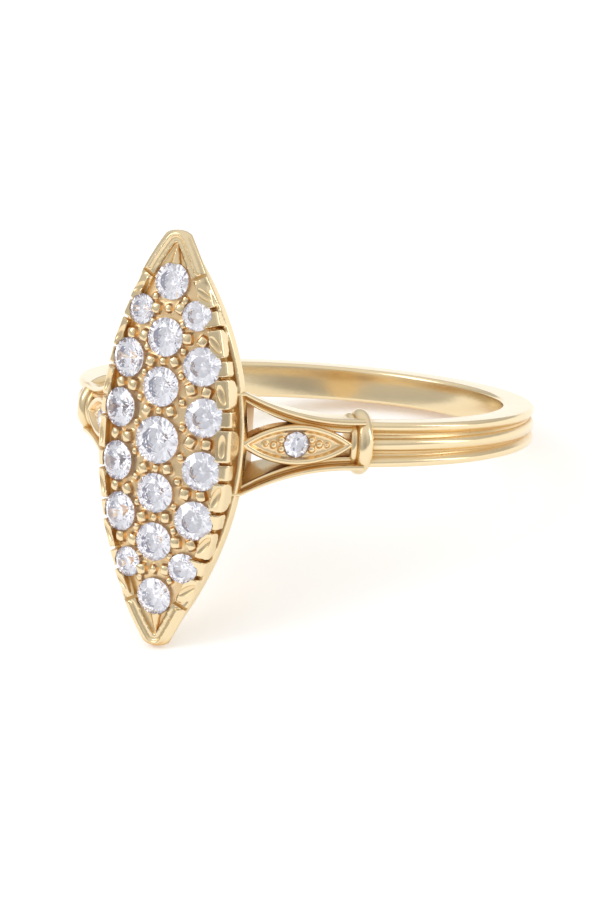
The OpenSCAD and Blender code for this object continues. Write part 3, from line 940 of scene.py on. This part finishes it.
def tip_slot(side, tip):
    """A saw's cut through the rim, between a tip and the first lobe."""
    z = tip * TIP_SLOT_Z
    cutter = block_of("tip_slot", (under_x(z, SLOT_FLOOR) + SAW_DEEP / 2, SAW_OUT, 0),
                      (SAW_DEEP, SAW_ACROSS, TIP_SLOT_W))
    return place(cutter, on_rim(side, z))


rim_parts = []
scoops = []
claw_ends = [z + half for z in SIDE_Z for half in (CLAW_L / 2, -CLAW_L / 2)]
cuts = [TIP_SLOT_Z] + claw_ends + [-TIP_SLOT_Z]
for side in (1, -1):
    for upper, lower in zip(cuts[0::2], cuts[1::2]):
        middle = (upper + lower) / 2
        length = (upper - lower) / math.cos(math.asin(middle / OUTLINE_R)) - 2 * SLOT_W
        height = max(LOBE_MIN_H,
                     rim_top(middle, LOBE_W - LOBE_OUT) - under_x(middle, WALL_MIN_H))
        outer_h = height - RIM_SLOPE * LOBE_W
        foot_r = min(LOBE_FOOT_R, length * LOBE_ROUND_L, outer_h * LOBE_ROUND_H)
        lobe = petal("lobe", length, height, LOBE_W, foot_r, LOBE_SHOULDER_R)
        rim_parts.append(set_on_rim(lobe, side, middle, LOBE_W, LOBE_OUT))
        scoops.append(scoop(side, middle, length))
    for z in SIDE_Z:
        claw = petal("claw", CLAW_L, CLAW_H, CLAW_W, CLAW_FOOT_R, CLAW_SHOULDER_R)
        rim_parts.append(set_on_rim(claw, side, z, CLAW_W, CLAW_OUT))
slots = join([tip_slot(side, tip) for side in (1, -1) for tip in (1, -1)], "tip_slots")
fix_normals(slots)
print(len(rim_parts), "lobes and claws")

# %% [markdown]
# ## The tips
# At each tip the rim stays whole and forms a pointed cap with its own floor, open towards the
# stones, with a small bright tongue lying in it.

# %% Tips
CAP_DROP = 0.03
CAP_INSET = 0.90
CAP_START = TIP_SLOT_Z + 0.10
TONGUE_R = 0.30
TONGUE_END_R = 0.04
TONGUE_L = 1.0
TONGUE_AT = (0.05, 8.1)
TONGUE_LIFT = 0.06


def cap_foot(y, z):
    """The underside of a tip's cap, a hair below the rim's."""
    return foot_x(y, z) - CAP_DROP


def tip_cap(side):
    """The part of the rim beyond the last slot, with steep inner walls and a floor."""
    cap = head_ring("tip_cap", [
        (0.0, cap_foot),
        (0.02, over_dome(RIM_LIFT - 0.26)),
        (-0.02, over_dome(RIM_LIFT - 0.12)),
        (-0.08, over_dome(RIM_LIFT - 0.03)),
        (-0.15, over_dome(RIM_LIFT)),
        (-0.21, over_dome(RIM_LIFT - 0.04)),
        (-0.30, over_dome(RIM_LIFT - 0.22)),
        (-0.36, over_dome(0.04)),
        (-CAP_INSET, over_dome(0.0)),
        (-CAP_INSET, cap_foot)])
    edit_all(cap)
    bpy.ops.mesh.bisect(plane_co=(0, 0, side * CAP_START), plane_no=(0, 0, side),
                        use_fill=True, clear_inner=True)
    close()
    fix_normals(cap)
    return cap


def tongue(side):
    """The small spike that points into a tip."""
    bpy.ops.object.select_all(action="DESELECT")
    bpy.ops.mesh.primitive_cone_add(vertices=4, radius1=TONGUE_R, radius2=TONGUE_END_R, depth=TONGUE_L)
    return place(newest("tongue"), on_dome(TONGUE_AT[0], side * TONGUE_AT[1])
                 @ Matrix.Translation((0, 0, TONGUE_LIFT))
                 @ Matrix.Rotation(-side * math.pi / 2, 4, "Y"))


caps = []
tongues = []
for side in (1, -1):
    caps.append(tip_cap(side))
    tongues.append(tongue(side))

# %% [markdown]
# ## The field
# The field is the domed plate that the stones sink into. Its section is an arc, spun about an
# axis far behind the head, which gives the dome its second, slower curve. An oval prism trims it
# to the outline, and a long cylinder trims its underside.

# %% Field
FIELD_LIFT = -0.10
FIELD_HALF_ARC = 30
FIELD_HALF_TURN = 12.5
FIELD_BACK_X = 9.5
FIELD_INSET = 0.45
PRISM_ENDS = (9.0, 15.0)

section = arc((DOME_X - CROSS_R, 0), CROSS_R + FIELD_LIFT, -FIELD_HALF_ARC, FIELD_HALF_ARC, 40)
corners = [(FIELD_BACK_X, section[-1][1], 0), (FIELD_BACK_X, section[0][1], 0)]
field = draw("head_field", [(x, y, 0) for x, y in section] + corners)
place(field, Matrix.Translation((DOME_X - LONG_R, 0, 0))
      @ Matrix.Rotation(math.radians(FIELD_HALF_TURN), 4, "Y")
      @ Matrix.Translation((LONG_R - DOME_X, 0, 0)))
edit_all(field)
bpy.ops.mesh.spin(steps=120, angle=math.radians(2 * FIELD_HALF_TURN),
                  center=(DOME_X - LONG_R, 0, 0), axis=(0, 1, 0))
bpy.ops.mesh.select_all(action="SELECT")
bpy.ops.mesh.fill_holes(sides=0)
close()
fix_normals(field)
print("dome reaches z", max(vertex.co.z for vertex in field.data.vertices),
      "open edges", open_edges(field))
prism_lines = [draw("prism_line", [(x, y, z) for y, z in oval(-FIELD_INSET)]) for x in PRISM_ENDS]
prism = bridge_stack(prism_lines, "oval_prism")
edit_all(prism, "EDGE")
bpy.ops.mesh.fill_holes(sides=0)
close()
fix_normals(prism)
boolean(field, prism, "INTERSECT")
bpy.ops.object.select_all(action="DESELECT")
bpy.ops.mesh.primitive_cylinder_add(vertices=360, radius=UNDER_R, depth=12,
                                    location=(BACK_X + UNDER_R, 0, 0), rotation=(math.pi / 2, 0, 0))
boolean(field, place(newest("underside_tool"), Matrix.Identity(4)), "INTERSECT")
print("field", triangles(field), "open edges", open_edges(field))

# %% [markdown]
# ## Grains
# The metal between the stones is cut down with a graver and raised into grains, small beads
# pushed over the stones' edges. One bead is a cube rounded part of the way to a ball and drawn up
# into a blunt post. The places follow the stones: two in each gap of a side row, three across each
# gap of the middle row, and a small one wherever a side stone comes near a middle stone.

# %% Grains
GRAIN_R = 0.25
GRAIN_SINK = 0.09
GRAIN_GAP = 0.1
GRAIN_ROUND = 0.4
GRAIN_FORM = (0.90, 0.84, 1.15)
GRAIN_TURN = 37
GRAIN_TURN_SPAN = 60
SMALL_GRAIN = 0.66
MIDDLE_Z = (6.9174, 4.49265, 2.33325, 0, -2.33325, -4.49265, -6.9174)
MIDDLE_D = (1.64, 1.72, 1.76, 2.1, 1.76, 1.72, 1.64)
SIDE_Y = (1.35765, 1.8207, 2.079, 2.079, 1.8207, 1.35765)
SIDE_D = (1.34, 1.74, 1.74, 1.74, 1.74, 1.34)
# Across from the row's middle, along from the gap's middle, and the size
SIDE_GRAINS = [(0.16, 0.0, 1.0), (-0.54, 0.05, 1.05)]
MIDDLE_GRAINS = [(0.56, 0.04, 0.95), (-0.02, 0.0, 0.72), (-0.60, -0.04, 1.0)]


def grain(y, z, size):
    """A bead on a post, standing out of the dome, turned a little further than the one before."""
    bpy.ops.object.select_all(action="DESELECT")
    bpy.ops.mesh.primitive_cube_add(size=2 * GRAIN_R * size)
    bead = newest("grain")
    edit_all(bead)
    bpy.ops.mesh.subdivide(number_cuts=4, smoothness=0.0)
    bpy.ops.transform.tosphere(value=GRAIN_ROUND)
    bpy.ops.transform.resize(value=GRAIN_FORM)
    close()
    turned = math.radians(GRAIN_TURN * len(grains) % GRAIN_TURN_SPAN - GRAIN_TURN_SPAN / 2)
    return place(bead, on_dome(y, z) @ Matrix.Translation((0, 0, -GRAIN_SINK))
                 @ Matrix.Rotation(turned, 4, "Z"))


grains = []
for side in (1, -1):
    for i in range(5):
        gap_z = (SIDE_Z[i] + SIDE_Z[i + 1]) / 2
        row_y = (SIDE_Y[i] + SIDE_Y[i + 1]) / 2
        for across, along, size in SIDE_GRAINS:
            grains.append(grain(side * (row_y + across), gap_z + along * side, size))
    for i in range(6):
        for j in (i, i + 1):
            share = (MIDDLE_D[j] + GRAIN_GAP) / (MIDDLE_D[j] + SIDE_D[i] + 2 * GRAIN_GAP)
            between_z = MIDDLE_Z[j] + (SIDE_Z[i] - MIDDLE_Z[j]) * share
            grains.append(grain(side * SIDE_Y[i] * share, between_z, SMALL_GRAIN))
for i in range(6):
    above_d, below_d = MIDDLE_D[i], MIDDLE_D[i + 1]
    gap_z = (MIDDLE_Z[i] * below_d + MIDDLE_Z[i + 1] * above_d) / (above_d + below_d)
    for across, along, size in MIDDLE_GRAINS:
        grains.append(grain(across, gap_z + along, size))
print(len(grains), "grains")

# %% [markdown]
# ## Melting and drilling the head
# The field melts together with its grains, and the wall with its lobes, claws and caps. The two stay
# separate pieces, so that the field can have its warmer painted shade. The scoops and the saw cuts
# come after the melting, and the seats last of all.

# %% Head
FIELD_VOXEL = 0.055
RIM_VOXEL = 0.05
SEAT_DEPTH = 3.2
SEAT_MOUTH = 0.05

stone_rows = [[(0, z, d) for z, d in zip(MIDDLE_Z, MIDDLE_D)]] + [
    [(side * y, z, d) for y, z, d in zip(SIDE_Y, SIDE_Z, SIDE_D)] for side in (1, -1)]
boolean(field, slots, "DIFFERENCE", keep_tool=True)
head_field = melt([field] + grains + tongues, "head_field", FIELD_VOXEL, rounds=2)
head_rim = melt([wall] + caps + rim_parts, "head_rim", RIM_VOXEL, rounds=2)
for ball in scoops:
    fix_normals(ball)
boolean(head_rim, join(scoops, "scoops"), "DIFFERENCE")
boolean(head_rim, slots, "DIFFERENCE")
for row in stone_rows:
    drills = join([place(seat_cutter(d, GIRDLE_LIFT, SEAT_DEPTH, SEAT_MOUTH), on_dome(y, z))
                   for y, z, d in row], "drills")
    boolean(head_field, drills, "DIFFERENCE", keep_tool=True)
    boolean(head_rim, drills, "DIFFERENCE")
finish_gold(head_field, 35, gold_field)
finish_gold(head_rim, 35)

# %% [markdown]
# ## Table and camera
# The table is a plain pale plane that glows a little, so that only the softest shadow is left on
# it. The camera stands far off with a long lens, so that near and far parts keep their true sizes,
# and it looks a little down on the ring, with the head on the left of the picture. Its directions
# are given on the bench and laid down with the ring.

# %% Table
bpy.ops.object.select_all(action="DESELECT")
bpy.ops.mesh.primitive_plane_add(size=3, location=(0, 0, 0))
table = newest("table")
white, bench = new_material("white_table")
paint = bench.node("ShaderNodeBsdfPrincipled", {}, {
    "Base Color": (0.93, 0.93, 0.93, 1), "Roughness": 0.9, "Emission Color": (1, 1, 1, 1),
    "Emission Strength": 0.28})
bench.surface(paint)
table.data.materials.append(white)

# %% Camera
DISTANCE = 1500 * MM
PICTURE_ROWS = 900
ROWS_PER_MM = 22.837
FRAME_H = PICTURE_ROWS / ROWS_PER_MM * MM
SENSOR = 24
BACK = Vector((0.868, 0.475, 0.145)).normalized()
UP = Vector((-0.0988, -0.1207, 0.987))
RIGHT = UP.cross(BACK).normalized()
UP = BACK.cross(RIGHT).normalized()
AIM_RIGHT, AIM_UP = -0.238, -1.755

lay = Matrix.Rotation(-TILT, 3, "Y")
aim = lay @ (AIM_RIGHT * RIGHT + AIM_UP * UP) * MM + REST * MM
turn = Matrix((lay @ RIGHT, lay @ UP, lay @ BACK)).transposed()
bpy.ops.object.camera_add(location=aim + lay @ BACK * DISTANCE, rotation=turn.to_euler())
camera = bpy.context.object
camera.data.sensor_fit = "VERTICAL"
camera.data.sensor_height = SENSOR
camera.data.lens = SENSOR / 2 / (FRAME_H / 2 / DISTANCE)
camera.data.clip_start = 0.1
camera.data.clip_end = 10
bpy.context.scene.camera = camera

# %% [markdown]
# ## Light
# Polished metal shows nothing but its surroundings, so the surroundings are the real material
# here. A room that is white all round would make the gold look like cream. So the sky is bright
# above, darker towards the horizon and darkest on the camera's side, as in a small photo tent with
# an opening for the lens. Two soft boxes lay long bright lines along the reeds and the rails.

# %% Sky and soft boxes
SKY_TOP = 0.90
SKY_LOW = 0.55
SKY_TOP_FROM = 0.75
OPENING = 0.68
OPENING_EDGE = 0.80
OPENING_MIDDLE = 0.97
SOFT_BOX_RADIANCE = 2.2

world = bpy.data.worlds.new("photo_tent")
bpy.context.scene.world = world
world.use_nodes = True
world.node_tree.nodes.clear()
bench = Bench(world.node_tree)
direction = bench.node("ShaderNodeTexCoord", output="Generated")
height = bench.node("ShaderNodeVectorMath", {"operation": "DOT_PRODUCT"},
                    {0: direction, 1: (0, 0, 1)}, output="Value")
towards_camera = bench.node("ShaderNodeVectorMath", {"operation": "DOT_PRODUCT"},
                            {0: direction, 1: tuple(lay @ BACK)}, output="Value")
tent = bench.node("ShaderNodeMapRange", {"interpolation_type": "SMOOTHSTEP"},
                  {"Value": height, "From Min": 0.0, "From Max": SKY_TOP_FROM,
                   "To Min": SKY_LOW, "To Max": SKY_TOP})
lens = bench.node("ShaderNodeMapRange", {"interpolation_type": "SMOOTHSTEP"},
                  {"Value": towards_camera, "From Min": OPENING_EDGE, "From Max": OPENING_MIDDLE,
                   "To Min": 1.0, "To Max": OPENING})
sky = bench.node("ShaderNodeBackground", {}, {"Color": (1, 1, 1, 1), "Strength": tent * lens})
world_end = world.node_tree.nodes.new("ShaderNodeOutputWorld")
world.node_tree.links.new(sky.socket, world_end.inputs["Surface"])


def soft_box(name, side, up, out, width, height):
    """An area light at a place in the camera's own directions, turned to the ring."""
    spot = aim + (lay @ RIGHT * side + lay @ UP * up + lay @ BACK * out)
    facing = (spot - aim).to_track_quat("Z", "Y").to_euler()
    bpy.ops.object.light_add(type="AREA", location=spot, rotation=facing)
    box = bpy.context.object
    box.name = name
    box.data.shape = "RECTANGLE"
    box.data.size = width
    box.data.size_y = height
    box.data.energy = SOFT_BOX_RADIANCE * math.pi * width * height


soft_box("left_box", -0.55, 0.35, 0.25, 0.30, 0.45)
soft_box("right_box", 0.60, 0.15, 0.10, 0.16, 0.50)
bpy.context.scene.view_settings.view_transform = "Standard"
